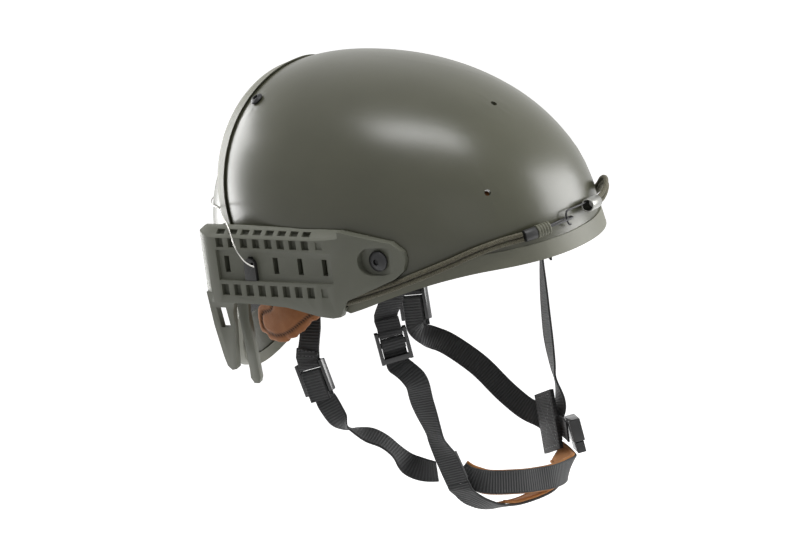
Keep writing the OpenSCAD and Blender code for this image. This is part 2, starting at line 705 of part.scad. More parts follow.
// Frame of the fittings at a bungee's front end
function end_of(route) = route[len(route) - 1];
function fitting_at(route, side) = let (e = end_of(route)) side_point(side * e[0], e[1], -e[2]);
function fitting_dir(route, side) = let (e = end_of(route))
  unit(side_point(side * (e[0] - 1), e[1] + 0.2, -e[2]) - side_point(side * e[0], e[1], -e[2]));
module at_fitting(route, side, along) {
  aim(fitting_at(route, side) + fitting_dir(route, side) * along, fitting_dir(route, side))
    children();
}
module bungee_sleeve() {
  color(metal_dark)
    at_fitting(right_bungee_route, -1, fitting_gap)
      cylinder(h = 9, r = 4.1);
}
module bungee_collar() {
  color(trim_grey)
    at_fitting(right_bungee_route, -1, 9 + fitting_gap + fit_gap)
      rotate_extrude()
        polygon(concat([[0, 0]],
          [for (k = [0:4], s = [[4, 0], [4.6, 0.5], [4.6, 1.2], [4, 1.7]]) [s[0], s[1] + 2 * k]],
          [[3.2, 10], [0, 10.6]]));
}
module bungee_ferrule() {
  color(metal_light)
    at_fitting(left_bungee_route, 1, fitting_gap)
      difference() {
        cylinder(h = 17, r = fitting_r);
        translate([0, 0, 4])
          cylinder(h = 20, r = fitting_r - 1);
      }
}

// Loop wire on the right fitting and the hook wire that passes through it,
// as distance from the middle plane, height and stand-off
loop_route = [[-31, -4.7, 6], [-24.7, -4.7, 6.1], [-16, -4.6, 5.8], [-10.8, -4.6, 5.4], [-9, -4.6, 3.6],
              [-10.8, -4.6, 1.8], [-16, -4.6, 1.4], [-24.7, -4.7, 2.4], [-31, -4.7, 4.1]];
hook_route = [[8.1, 0.3, 5.6], [5.6, 0.7, 5.4], [-4.7, 0.9, 4.3], [-12.2, 0.8, 3.6], [-14.2, -0.8, 3.6],
              [-14.6, -3.6, 3.6], [-13.9, -6.8, 3.4], [-12.6, -8.8, 3.2], [-10.9, -9.3, 3.1]];
function by_bearing(route) = [for (r = route) [bearing_at_y(r[0]), r[1], r[2]]];
module loop_wire() {
  color(metal_dark)
    cord(curve(on_brow(by_bearing(loop_route)), 3), hook_wire_d, 8);
}
module hook_wire() {
  color(metal_dark)
    cord(curve(on_brow(by_bearing(hook_route)), 3), hook_wire_d, 8);
}

// Thin steel wire from plug to plug round the back of the rear shell
plug_x = slot_x[1];
wire_half = [[plug_x + 6, -rail_out - 2.5, -15], [plug_x + 1, -rail_out - 4, -12], [-50, -rail_out - 5, -6],
             [-54, -rail_out - 4, 0], [-60, -rail_out + 1, 10], [-66, -rail_out + 5, 16],
             [-72, -rail_out + 10, 20], [-78, -rail_out + 16, 20], [-87, -rail_out + 27, 17.5],
             [-97, -rail_out + 40, 13]];
function back_wire_points() =
  let (round_back = [for (b = [42:-6:0]) rear_point(-b, 4 + 4 * pow(b / 42, 2), -1)],
       right = curve(concat(wire_half, round_back), 2))
  concat(right, [for (i = [len(right) - 2:-1:0]) [right[i][0], -right[i][1], right[i][2]]]);
module back_wire() {
  color(metal_light)
    cord(back_wire_points(), steel_wire_d, 6);
}
module wire_plug() {
  translate([plug_x, -rail_out + channel_d - 0.1, panel_z - 2.4])
    rotate([90, 0, 0])
      difference() {
        union() {
          translate([-4.5, -8, 0])
            cube([9, 11, 2.8]);
          translate([0, 3, 0])
            cylinder(h = 2.8, r = 4.5);
          translate([-1.8, -3.2, -7])
            cube([3.6, 10.5, 7.1]);
        }
        translate([2.6, 4, -1])
          cylinder(h = 6, r = 1);
      }
}
module right_wire_plug() {
  color(web_black)
    wire_plug();
}
module left_wire_plug() {
  color(web_black)
    mirror([0, 1, 0])
      wire_plug();
}

// Cushion on a shell's inner surface: outline round a centre, with crown, drawn-in edge and sewn channel
cushion_rings = [[0.25, 1], [0.5, 0.98], [0.7, 0.9], [0.78, 0.74], [0.84, 0.84], [0.93, 0.7], [1, 0.35]];
module cushion(centre, outline, thick, place) {
  n = len(outline);
  front = [for (ring = cushion_rings, q = outline) place(centre + (q - centre) * ring[0], thick * ring[1])];
  back = [for (q = outline) place(centre + (q - centre) * 0.97, 0)];
  points = concat([place(centre, thick)], front, back, [place(centre, 0)]);
  rows = len(cushion_rings) + 1;
  at = function(r, c) 1 + r * n + c % n;
  polyhedron(points = points, faces = [
    for (c = [0:n - 1]) [0, at(0, c), at(0, c + 1)],
    for (r = [0:rows - 2], c = [0:n - 1],
         f = quad(at(r, c), at(r + 1, c), at(r + 1, c + 1), at(r, c + 1))) f,
    for (c = [0:n - 1]) [1 + rows * n, at(rows - 1, c + 1), at(rows - 1, c)]]);
}
function rounded_box(hx, hy, power, n = 28) =
  [for (k = [0:n - 1]) let (a = 360 * k / n)
    [hx * signed_pow(cos(a), 2 / power), hy * signed_pow(sin(a), 2 / power)]];
pad_seat = wall + 0.5;
side_pad_seat = wall + 2.9;

module brow_pad() {
  color(foam_black)
    cushion([0, 6], [for (q = rounded_box(34, 17, 4)) [q[0], q[1] + 6]], pad_t,
      function(q, lift) q[1] > 0 ? dome_point(q[0], 1 - q[1] / 150, pad_seat + lift)
                                 : side_point(q[0], q[1], pad_seat + lift));
}
module crown_pad() {
  color(foam_black)
    cushion([18, 0], [for (q = rounded_box(42, 38, 3)) [q[0] + 18, q[1]]], pad_t,
      function(q, lift) let (bearing = norm(q) < eps ? 0 : atan2(q[1], q[0]))
        dome_point(bearing, norm(q) / 160, wall + strap_gap + 0.2 + lift));
}
side_pad_outline = [[-53, -28], [-53, -38], [-57, -47], [-66, -50], [-71, -56], [-72, -65], [-69, -73],
                    [-62, -78], [-50, -79.5], [-38, -77], [-28, -72], [-20, -67], [-8, -59], [4, -52],
                    [16, -45], [26, -38], [28, -28], [26, -16], [16, -12],
                    [0, -10], [-18, -11], [-30, -17], [-38, -24], [-49, -25]];
module side_pad() {
  cushion([-28, -42], reversed(side_pad_outline), side_pad_t,
    function(q, lift) [q[0], pad_plan_y(q[0], side_pad_seat + lift), q[1]]);
}
module right_side_pad() {
  color(suede_tan)
    mirror([0, 1, 0])
      side_pad();
}
module left_side_pad() {
  color(suede_tan)
    side_pad();
}
module nape_pad() {
  color(foam_black)
    cushion([0, -60], reversed([for (q = rounded_box(32, 24, 4)) [q[0], q[1] - 60]]), pad_t,
      function(q, lift) rear_point(q[0], q[1], wall + strap_gap + lift));
}
// Hook discs that hold the side pads to the shell
disc_r = 9;
disc_h = 1.6;
disc_x = [-26, 6];
function wall_slope(x) = (pad_plan_y(x + 1, wall) - pad_plan_y(x - 1, wall)) / 2;
module pad_discs() {
  color(web_black)
    for (side = [-1, 1], x = disc_x) {
      n = unit([-wall_slope(x), side, 0]);
      aim([x, side * pad_plan_y(x, wall), -21] - n * (disc_h + 0.6), n)
        cylinder(h = disc_h, r = disc_r);
    }
}

// Frame of each ladder lock: middle, direction of its width and direction down the strap
lock_centre = [[42, -half_w + 21.5, -77], [60.5, half_w - 23.6, -49.2], [-27, -half_w + 22.5, -103],
               [-51, half_w - 28.5, -100]];
lock_side = [[0.75, 0.66, 0], [-0.62, 0.78, 0], [0.95, 0.1, 0.25], [-0.95, -0.1, -0.2]];
lock_down = [[0.06, 0.12, -1], [0.06, -0.12, -1], [0.25, 0.04, -1], [0.1, -0.1, -1]];
function lock_up(i) = -unit(lock_down[i]);
function lock_across(i) = let (u = lock_up(i)) unit(lock_side[i] - u * (lock_side[i] * u));
function lock_out(i) = cross(lock_across(i), lock_up(i));
function in_lock(i, up, out) = lock_centre[i] + up * lock_up(i) + out * lock_out(i);
module at_lock(i) {
  x = lock_across(i);
  y = lock_up(i);
  z = lock_out(i);
  c = lock_centre[i];
  multmatrix([[x[0], y[0], z[0], c[0]], [x[1], y[1], z[1], c[1]], [x[2], y[2], z[2], c[2]], [0, 0, 0, 1]])
    children();
}

lock_bar_r = 1.6;
top_bar_up = lock_h / 2 - lock_bar_r;
middle_bar_up = 2.6;
// How far the lock's lower end stops short of its full height
lock_foot = 1.6;
module lock_body(i) {
  color(web_black)
    at_lock(i) {
      for (side = [-1, 1])
        translate([side * (lock_w / 2 - 1.2), lock_foot / 2, 0])
          cube([2.4, lock_h - lock_foot, lock_t], center = true);
      translate([0, top_bar_up, 0])
        rotate([0, 90, 0])
          cylinder(h = lock_w - 2, r = lock_bar_r, center = true);
      translate([0, middle_bar_up, 0])
        cube([lock_w - 2, 3, 2.6], center = true);
      translate([0, -lock_h / 2 + lock_foot + 1.7, 0])
        cube([lock_w - 2, 3.4, 3], center = true);
    }
}
module right_front_lock() {
  lock_body(0);
}
module left_front_lock() {
  lock_body(1);
}
module right_rear_lock() {
  lock_body(2);
}
module left_rear_lock() {
  lock_body(3);
}

// Loop of the anchor strap round a lock's top bar, from the inner side to the outer side
loop_r = lock_bar_r + fit_gap + web_t / 2;
function anchor_loop(i) =
  [for (a = [-60:30:240]) in_lock(i, top_bar_up - loop_r * sin(a), -loop_r * cos(a))];
// Places above the loop, moved sideways by a lean that grows with the height
function over_loop(i, up, out, lean) =
  in_lock(i, top_bar_up + up, out) + lean * pow(max(0, up - 5) / 20, 1.2) * lock_across(i);
function sewn_end(i, lean) = [over_loop(i, 5, 1.2, lean), over_loop(i, 10, 0.85, lean)];
module anchor_web(i, top, top_side, lean = 0) {
  last = [over_loop(i, 12, -0.95, lean), over_loop(i, 5, -1.4, lean)];
  points = concat(curve(concat(top, last), 3),
                  anchor_loop(i), sewn_end(i, lean));
  n = len(points);
  web(points, [for (k = [0:n - 1]) mix(top_side, lock_across(i), ease((k - 5) / 6))]);
}

// Front anchors are clamped under the rail nuts, rear ones are held by their own screws
function front_anchor_top(side) =
  [[rail_bolt_x, side * front_strap_y, rail_bolt_z + 10], [rail_bolt_x, side * front_strap_y, rail_bolt_z]];
module front_anchor(i, side, hang) {
  color(web_black)
    difference() {
      anchor_web(i, concat(front_anchor_top(side), hang), [-side, 0, 0]);
      translate([rail_bolt_x, side * 85, rail_bolt_z])
        rotate([90, 0, 0])
          cylinder(h = 60, r = bolt_r + fit_gap, center = true);
    }
}
module right_front_anchor() {
  front_anchor(0, -1, [[rail_bolt_x - 1, 1 - front_strap_y, -28], [rail_bolt_x - 5, 4 - front_strap_y, -42]]);
}
module left_front_anchor() {
  front_anchor(1, 1, [[rail_bolt_x + 1.5, front_strap_y - 0.7, -20]]);
}
rear_screw_x = -44;
rear_screw_z = 3;
rear_strap_y = pad_plan_y(rear_screw_x, wall) - web_t / 2 - strap_gap;
function rear_anchor_top(side, lean) =
  [[rear_screw_x, side * (rear_strap_y - 1.2), rear_screw_z + 8],
   [rear_screw_x, side * (rear_strap_y - 0.7), rear_screw_z],
   [rear_screw_x + 1, side * (rear_strap_y - 3.5), -8],
   [rear_screw_x + 2, side * (rear_strap_y - 13.2), -20],
   [rear_screw_x + 3 + 0.6 * lean, side * (rear_strap_y - 16.2), -42],
   [rear_screw_x + 2 + lean, side * (rear_strap_y - 17.7), -62]];
module rear_anchor(i, side, lean) {
  color(web_black)
    difference() {
      anchor_web(i, rear_anchor_top(side, lean), -side * [1, side * wall_slope(rear_screw_x), 0], lean);
      translate([rear_screw_x, side * 85, rear_screw_z])
        rotate([90, 0, 0])
          cylinder(h = 60, r = screw_hole_r + fit_gap, center = true);
    }
}
module right_rear_anchor() {
  rear_anchor(2, -1, 13);
}
module left_rear_anchor() {
  rear_anchor(3, 1, 0);
}
// Blind holes in the front shell's inside take the screws of the rear anchors
module rear_screw_frame(side) {
  aim([rear_screw_x, side * (plan_y(rear_screw_x) - 1), rear_screw_z], [0, -side, 0])
    children();
}
rear_screw_depth = wall + web_t + 2.2;
module anchor_screws() {
  color(metal_dark)
    for (side = [-1, 1])
      rear_screw_frame(side) {
        translate([0, 0, 0.2])
          cylinder(h = rear_screw_depth, r = screw_hole_r - 0.05);
        translate([0, 0, rear_screw_depth])
          cylinder(h = 1.8, r = 4.5);
      }
}

// Lower strap: a tail over the lock's middle bar, then its route down to the junction
function lock_weave(i) =
  concat([in_lock(i, -15, 3), in_lock(i, -6, 3.1), in_lock(i, -1, 2.9)],
         [for (a = [60:-30:-60]) in_lock(i, middle_bar_up + 0.2 + 3.4 * cos(a), 2.9 * sin(a))],
         [in_lock(i, -2, -2.8), in_lock(i, -9, -2.7), in_lock(i, -14, -2.7)]);
module lower_strap(i, route) {
  weave = lock_weave(i);
  down = curve(concat([[weave[len(weave) - 1], lock_across(i)]], route), 3);
  color(web_black)
    web(concat([for (p = weave) p], [for (k = [1:len(down) - 1]) down[k][0]]),
        concat([for (p = weave) lock_across(i)], [for (k = [1:len(down) - 1]) down[k][1]]));
}
module right_front_strap() {
  lower_strap(0, [[[54.5, -83, -101], [0.78, 0.62, 0]], [[53.3, -77, -118], [0.85, 0.4, 0]],
                  [[53.7, -69, -142], [0.95, -0.2, 0.1]], [[53.8, -65.5, -151], [0.95, -0.1, 0.1]],
                  [[55.2, -60.2, -163], [0.9, 0.3, 0.1]], [[55.8, -56.4, -173.3], [0.9, 0.3, 0.15]],
                  [[56.4, -52.6, -183.3], [0.9, 0.3, 0.15]]]);
}
module left_front_strap() {
  lower_strap(1, [[[56.9, 81, -82.3], [-0.74, 0.67, 0]], [[56.5, 80, -99.9], [-0.8, 0.6, 0]],
                  [[57.3, 78, -120.7], [-0.82, 0.57, 0]], [[59.6, 75.5, -137.7], [-0.72, 0.69, 0]],
                  [[62.4, 72.5, -148], [-0.6, 0.79, 0]], [[66.5, 68.5, -160.2], [-0.8, 0.55, -0.1]],
                  [[66.7, 66.4, -167], [-0.85, 0.45, 0]], [[62.9, 65.1, -173], [-0.9, 0.43, 0.1]]]);
}
module right_rear_strap() {
  lower_strap(2, [[[-21, -80.6, -122.5], [0.93, 0.3, 0.05]], [[-16.5, -78.6, -133], [0.93, 0.1, 0.1]],
                  [[-12, -77, -138.5], [0.8, -0.5, 0.25]], [[-6, -75.3, -141.3], [0.5, -0.85, 0.05]],
                  [[3, -72.4, -145.3], [0.28, -0.9, -0.33]], [[12.5, -69.5, -150.5], [0.34, -0.88, -0.3]],
                  [[20.2, -67, -158.3], [0.3, -0.88, -0.3]], [[27, -65, -167], [0.05, -0.65, -0.7]],
                  [[36, -62.5, -171.4], [0.1, -0.2, -0.93]], [[46.4, -60.7, -172.9], [0.1, 0.25, -0.95]]]);
}
module left_rear_strap() {
  lower_strap(3, [[[-44.5, 72, -118.5], [-0.85, 0.1, -0.45]], [[-36, 72.5, -121.5], [-0.6, -0.4, -0.65]],
                  [[-22, 72, -126], [-0.5, -0.57, -0.66]], [[2, 70, -139.5], [-0.5, -0.57, -0.66]],
                  [[22, 67, -155.5], [-0.5, -0.57, -0.66]], [[38, 66.5, -167.5], [-0.5, -0.57, -0.66]],
                  [[50.2, 71.4, -176.5], [-0.65, -0.3, -0.6]], [[56.7, 68.3, -184], [-0.85, 0.1, -0.4]],
                  [[62.4, 63.4, -192.5], [-0.9, 0.32, -0.32]]]);
}

// Sewn junction patches, chin bands and their suede linings
module patch(centre, along, side, l, w, t) {
  a = unit(along);
  s = unit(side - a * (side * a));
  n = cross(a, s);
  multmatrix([[a[0], s[0], n[0], centre[0]], [a[1], s[1], n[1], centre[1]],
              [a[2], s[2], n[2], centre[2]], [0, 0, 0, 1]])
    cube([l, w, t], center = true);
}
module right_junction() {
  color(web_black)
    patch([54, -54.5, -171.2], [0.06, 0.35, -0.93], [0.9, 0.3, 0.15], 22, 16, 3);
}
module left_junction() {
  color(web_black) {
    patch([59.9, 61.3, -174.9], [0.25, -0.3, -0.9], [0.85, -0.3, 0.3], 41.6, 20, 3);
    // Tab behind the buckle's socket
    web_route([[[63, 60.3, -176], [0, 0, 1]], [[70, 59.6, -177], [0, 0, 1]],
               [[74.6, 57.8, -178.5], [0, 0, 1]],
               [[80.6, 52, -179], [0, 0, 1]]], 3, web_w - 2);
  }
}
upper_band_route = [[[55.5, -46, -176], [-0.1, -0.3, 1]], [[62.6, -43, -182.4], [-0.1, -0.2, 1]],
                    [[71.4, -36, -187], [-0.15, 0.15, 1]], [[82.8, -17, -192], [-0.15, 0.15, 1]],
                    [[87.7, 0, -195.5], [-0.2, 0.1, 1]], [[91, 14, -197.7], [-0.1, 0.1, 1]],
                    [[89, 32, -199.8], [0.1, 0.3, 1]], [[83.2, 46, -199.7], [0.37, 0.51, 0.78]],
                    [[66.1, 60, -197.5], [0.37, 0.51, 0.78]]];
lower_band_route = [[[56.5, -52.3, -184], [0.9, 0.3, 0.15]], [[56.7, -51.2, -186.8], [0.9, 0.3, 0.15]],
                    [[57, -47.8, -191.2], [0.95, 0.1, 0.2]], [[58.4, -41, -198.2], [0.9, 0, 0.38]],
                    [[61.9, -33, -204.3], [0.82, -0.28, 0.49]], [[65.7, -23.5, -208.9], [0.9, -0.3, 0.32]],
                    [[68.3, -12, -211.5], [0.9, -0.3, 0.2]], [[72.7, 0, -212.4], [0.9, -0.3, 0.2]],
                    [[76.6, 13, -211.8], [0.9, -0.2, 0.15]], [[77, 23, -210.6], [0.9, 0.1, 0.1]],
                    [[72, 34, -210], [0.75, 0.6, 0.1]], [[64, 43, -209.4], [0.7, 0.65, 0.1]]];
// The lower lining starts where the band leaves the upper one
lower_lining_route = [for (i = [5:len(lower_band_route) - 1]) lower_band_route[i]];
lining_t = 1.6;
lining_gap = 0.7;
lining_step = (web_t + lining_t) / 2 + lining_gap;
module upper_chin_band() {
  color(web_black)
    web_route(upper_band_route, 6);
}
module lower_chin_band() {
  color(web_black)
    web_route(lower_band_route);
}
module upper_chin_lining() {
  color(suede_tan)
    web_route(upper_band_route, 6, web_w - 1, lining_t, -lining_step);
}
module lower_chin_lining() {
  color(suede_tan)
    web_route(lower_lining_route, 4, web_w - 1, lining_t, -lining_step);
}

// Side-release buckle
buckle_at = [82, 59, -180];
buckle_down = [0.15, 0, -1];
buckle_side = [-0.68, 0.73, 0];
module at_buckle() {
  d = unit(buckle_down);
  s = unit(buckle_side - d * (buckle_side * d));
  n = cross(d, s);
  multmatrix([[s[0], n[0], -d[0], buckle_at[0]], [s[1], n[1], -d[1], buckle_at[1]],
              [s[2], n[2], -d[2], buckle_at[2]], [0, 0, 0, 1]])
    children();
}
module buckle_socket() {
  color(web_black)
    at_buckle()
      difference() {
        translate([-11, -4, -6])
          cube([22, 8, 16]);
        translate([-8.5, -2.2, -7])
          cube([17, 4.4, 15]);
      }
}
module buckle_plug() {
  color(web_black)
    at_buckle() {
      translate([-10, -3, -14])
        cube([20, 6, 7.6]);
      for (x = [-8, -1, 6])
        translate([x, -1.8, -7])
          cube([2, 3.6, 12]);
    }
}

front_shell();
rear_shell();
brow_trim();
seam_trim();
nape_trim();
right_rail();
left_rail();
rail_bolts();
rail_nuts();
crown_bolts();
crown_spacers();
crown_nuts();
right_bungee();
left_bungee();
bungee_sleeve();
bungee_collar();
loop_wire();
bungee_ferrule();
hook_wire();
back_wire();
right_wire_plug();
left_wire_plug();
brow_pad();
crown_pad();
right_side_pad();
left_side_pad();
nape_pad();
pad_discs();
right_front_anchor();
left_front_anchor();
right_rear_anchor();
left_rear_anchor();
anchor_screws();
right_front_lock();
left_front_lock();
right_rear_lock();
left_rear_lock();
right_front_strap();
left_front_strap();
right_rear_strap();
left_rear_strap();
right_junction();
left_junction();
upper_chin_band();
lower_chin_band();
upper_chin_lining();
lower_chin_lining();
buckle_socket();
buckle_plug();
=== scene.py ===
import json
import math

import bmesh
import bpy
from mathutils import Matrix, Vector, kdtree
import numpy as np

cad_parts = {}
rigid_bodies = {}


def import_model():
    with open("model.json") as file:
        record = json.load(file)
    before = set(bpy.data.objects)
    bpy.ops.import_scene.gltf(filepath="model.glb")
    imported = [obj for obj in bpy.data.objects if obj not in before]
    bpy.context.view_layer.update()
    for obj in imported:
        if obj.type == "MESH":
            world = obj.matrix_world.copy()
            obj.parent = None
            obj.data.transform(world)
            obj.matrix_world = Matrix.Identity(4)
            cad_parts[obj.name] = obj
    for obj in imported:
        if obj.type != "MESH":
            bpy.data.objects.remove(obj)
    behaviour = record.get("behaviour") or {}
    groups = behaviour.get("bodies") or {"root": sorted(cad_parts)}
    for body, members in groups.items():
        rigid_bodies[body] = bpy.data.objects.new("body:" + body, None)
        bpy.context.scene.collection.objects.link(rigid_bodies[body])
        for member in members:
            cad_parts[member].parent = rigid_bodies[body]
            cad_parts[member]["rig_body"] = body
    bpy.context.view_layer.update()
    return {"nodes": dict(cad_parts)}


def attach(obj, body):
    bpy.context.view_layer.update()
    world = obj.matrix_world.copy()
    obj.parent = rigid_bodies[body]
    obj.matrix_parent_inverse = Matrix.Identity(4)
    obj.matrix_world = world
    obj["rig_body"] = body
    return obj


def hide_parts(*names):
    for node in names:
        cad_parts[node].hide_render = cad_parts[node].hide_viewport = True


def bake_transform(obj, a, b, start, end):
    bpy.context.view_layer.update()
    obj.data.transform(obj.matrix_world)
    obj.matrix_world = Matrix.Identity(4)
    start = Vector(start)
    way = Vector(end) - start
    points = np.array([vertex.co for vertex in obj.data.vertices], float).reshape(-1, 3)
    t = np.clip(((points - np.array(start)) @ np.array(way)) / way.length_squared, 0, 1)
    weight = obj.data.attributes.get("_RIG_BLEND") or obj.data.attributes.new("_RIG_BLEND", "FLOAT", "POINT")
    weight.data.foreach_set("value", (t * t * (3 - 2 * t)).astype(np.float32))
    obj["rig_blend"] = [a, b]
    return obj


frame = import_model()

scene = bpy.context.scene
nodes = frame["nodes"]

MM = 0.001
# Mesh points closer than this are one point
DOUBLES = 2e-6
# Name of the mesh attribute that is 1 along a sewn seam
SEAM = "seam"


# Camera at the photograph's angle, from its right and up directions
RIGHT = Vector((0.83, 0.543, -0.13)).normalized()
UP = Vector((-0.035, 0.283, 0.958)).normalized()
TOWARDS_CAMERA = RIGHT.cross(UP).normalized()
# Middle of the view, from the origin along those two directions
VIEW_RIGHT = 0.00266
VIEW_UP = -0.0546
VIEW_WIDTH = 0.5457
LENS = 300


def place_camera():
    data = bpy.data.cameras.new("camera")
    data.lens = LENS
    data.clip_end = 100
    camera = bpy.data.objects.new("camera", data)
    scene.collection.objects.link(camera)
    distance = VIEW_WIDTH * LENS / data.sensor_width
    spot = VIEW_RIGHT * RIGHT + VIEW_UP * UP + distance * TOWARDS_CAMERA
    turn = Matrix((RIGHT, UP, TOWARDS_CAMERA)).transposed()
    camera.matrix_world = Matrix.Translation(spot) @ turn.to_4x4()
    scene.camera = camera


def softbox(name, spot, size, watts):
    """A rectangular studio lamp that faces the helmet, its long side across the view."""
    data = bpy.data.lights.new(name, "AREA")
    data.shape = "RECTANGLE"
    data.size, data.size_y = size
    data.energy = watts
    lamp = bpy.data.objects.new(name, data)
    scene.collection.objects.link(lamp)
    back = Vector(spot).normalized()
    up = back.cross(RIGHT).normalized()
    turn = Matrix((up.cross(back), up, back)).transposed()
    lamp.matrix_world = Matrix.Translation(spot) @ turn.to_4x4()


class Value:
    """A socket of a finish, with the arithmetic of shader maths."""

    def __init__(self, finish, socket):
        self.finish = finish
        self.socket = socket

    def maths(self, operation, first, second=0.0):
        return self.finish.node("Math", {"operation": operation}, {0: first, 1: second})

    def __add__(self, other):
        return self.maths("ADD", self, other)

    def __rsub__(self, other):
        return self.maths("SUBTRACT", other, self)

    def __mul__(self, other):
        return self.maths("MULTIPLY", self, other)

    __radd__ = __add__
    __rmul__ = __mul__

    def wave(self, pitch):
        """0 to 1 and back in each pitch."""
        return self.maths("SINE", self * (2 * math.pi / pitch)) * 0.5 + 0.5

    def size(self):
        return self.maths("ABSOLUTE", self)

    def step(self, low, high):
        """0 below low, 1 above high, smooth between them."""
        return self.finish.node(
            "MapRange",
            {"interpolation_type": "SMOOTHSTEP"},
            {"Value": self, "From Min": low, "From Max": high},
        )


class Finish:
    """A material with its shader, whose varying values are written as expressions."""

    def __init__(self, name, **plain):
        self.material = bpy.data.materials.new(name)
        self.material.use_nodes = True
        self.tree = self.material.node_tree
        self.shader = self.tree.nodes["Principled BSDF"]
        for key, value in plain.items():
            socket = key.replace("_", " ").title().replace("Ior", "IOR")
            self.shader.inputs[socket].default_value = value

    def node(self, kind, settings, sockets, out=0):
        made = self.tree.nodes.new("ShaderNode" + kind)
        for key, value in settings.items():
            setattr(made, key, value)
        for key, value in sockets.items():
            if isinstance(value, Value):
                self.tree.links.new(value.socket, made.inputs[key])
            else:
                made.inputs[key].default_value = value
        return Value(self, made.outputs[out])

    def place(self, scale=(1, 1, 1), turn=(0, 0, 0)):
        at = self.node("TexCoord", {}, {}, "Object")
        return self.node("Mapping", {}, {"Vector": at, "Rotation": turn, "Scale": scale})

    def along(self, axis, kind="Object"):
        return self.node("SeparateXYZ", {}, {0: self.node("TexCoord", {}, {}, kind)}, axis)

    def noise(self, size, detail=2.0, at=None):
        """Soft noise from 0 to 1 whose spots are about size across, in metres."""
        sockets = {"Vector": at or self.place(), "Scale": 1 / size, "Detail": detail}
        return self.node("TexNoise", {}, sockets)

    def cells(self, size, at=None):
        """Distance from the middle of small cells that are about size across."""
        return self.node("TexVoronoi", {}, {"Vector": at or self.place(), "Scale": 1 / size})

    def shade(self, first, second, factor):
        """From the first colour to the second as the factor goes from 0 to 1."""
        ends = {}
        for socket, colour in ((6, first), (7, second)):
            ends[socket] = (*colour, 1) if isinstance(colour, tuple) else colour
        return self.node("Mix", {"data_type": "RGBA"}, {0: factor, **ends}, 2)

    def paint(self, colour=None, roughness=None, height=None, depth=0.0001, strength=1.0):
        """Links the varying colour and roughness, and a bump of a height from 0 to 1 over a depth."""
        if height is not None:
            normal = self.node("Bump", {}, {"Height": height, "Distance": depth, "Strength": strength})
            self.tree.links.new(normal.socket, self.shader.inputs["Normal"])
        for key, value in (("Base Color", colour), ("Roughness", roughness)):
            if value is not None:
                self.tree.links.new(value.socket, self.shader.inputs[key])
        return self


def toned(colour, share):
    """The colour, darker or lighter by a share."""
    return tuple(share * c for c in colour)


def moulded(name, colour, roughness, grain=0.45 * MM, patch=0.06, depth=0.03 * MM, **plain):
    """Moulded or painted surface: fine grain, slow colour drift and a few dull rubs."""
    finish = Finish(name, **plain)
    drift = finish.noise(30 * MM, 3)
    rubs = finish.noise(6 * MM, 6).step(0.62, 0.8)
    speck = finish.noise(grain, 2)
    lighter = tuple(c * (1 + 3 * patch) + 0.004 for c in colour)
    darker = toned(colour, 1 - 2 * patch)
    tone = finish.shade(darker, lighter, drift * 0.75 + speck * 0.25)
    finish.paint(tone, drift * 0.05 + rubs * 0.08 + (roughness - 0.05), speck, depth)
    return finish


def metal(name, colour, roughness, metallic=1.0):
    """Drawn or turned metal with faint streaks and handling marks."""
    finish = Finish(name, Metallic=metallic)
    streaks = finish.noise(0.8 * MM, 3, finish.place(scale=(1, 1, 0.15)))
    marks = finish.noise(4 * MM, 5).step(0.5, 0.75)
    tone = finish.shade(toned(colour, 0.7), colour, streaks * 0.6 + 0.4)
    finish.paint(tone, streaks * 0.12 + marks * 0.1 + (roughness - 0.08), streaks, 0.02 * MM)
    return finish


def webbing(name, kind, colour, rib=2.0 * MM):
    """Woven nylon: ribs across the strap, fine warp along it and plain selvedges."""
    finish = Finish(name, Sheen_Weight=0.15, Specular_Ior_Level=0.35)
    if kind == "UV":
        down, across = finish.along(0, "UV"), finish.along(1, "UV")
        middle = 1 - across.size().step(0.84, 0.93)
        warp = across.wave(0.075)
    else:
        down, across = finish.along(2), finish.along(0)
        middle = 1.0
        warp = across.wave(0.6 * MM)
    ribs = down.wave(rib)
    lint = finish.noise(0.7 * MM, 4)
    weave = ribs * middle * 0.8 + warp * 0.2
    tone = finish.shade(toned(colour, 0.3), toned(colour, 2.1), weave * 0.8 + lint * 0.3)
    finish.paint(tone, 0.6 + lint * 0.2, weave + lint * 0.25, 0.35 * MM)
    return finish


# Dark stitch thread, whose colour is also painted along the seam's sunk groove as shade
SEAM_THREAD_AND_SHADE = (0.02, 0.011, 0.007)


def suede(name, colour):
    """Napped leather: brushed patches, darker hollows, a fine nap, dark stitches and painted shade along the
    sewn seam's groove.
    """
    finish = Finish(name, Sheen_Weight=0.12, Sheen_Roughness=0.5, Specular_Ior_Level=0.2)
    brushed = finish.noise(9 * MM, 4)
    nap = finish.noise(0.35 * MM, 3)
    creases = finish.cells(5 * MM).step(0.0, 0.55)
    dark = tuple(c * f for c, f in zip(colour, (0.62, 0.55, 0.45)))
    light = tuple(c * f for c, f in zip(colour, (1.22, 1.25, 1.4)))
    seam = finish.node("Attribute", {"attribute_name": SEAM}, {}, "Fac")
    stitches = seam * (finish.along(0) + finish.along(2)).wave(3.4 * MM).step(0.25, 0.5)
    tone = finish.shade(finish.shade(dark, light, brushed), light, nap * 0.35)
    # Along the seam: painted shade darkens the sunk groove, and dark thread shows where the stitches fall
    tone = finish.shade(tone, SEAM_THREAD_AND_SHADE, seam * 0.45 + stitches * 0.5)
    finish.paint(tone, 0.86 + nap * 0.1, nap * 0.5 + brushed * 0.7 + creases * 0.35, 0.3 * MM)
    return finish


def cloth(name, colour, thread=0.5 * MM):
    """Brushed knit over foam."""
    finish = Finish(name, Sheen_Weight=0.3, Sheen_Roughness=0.6, Specular_Ior_Level=0.2)
    fuzz = finish.noise(thread, 4)
    folds = finish.noise(14 * MM, 3)
    tone = finish.shade(toned(colour, 0.45), toned(colour, 1.8), fuzz * 0.7 + folds * 0.3)
    finish.paint(tone, 0.85 + fuzz * 0.1, fuzz + folds * 1.5, 0.25 * MM)
    return finish


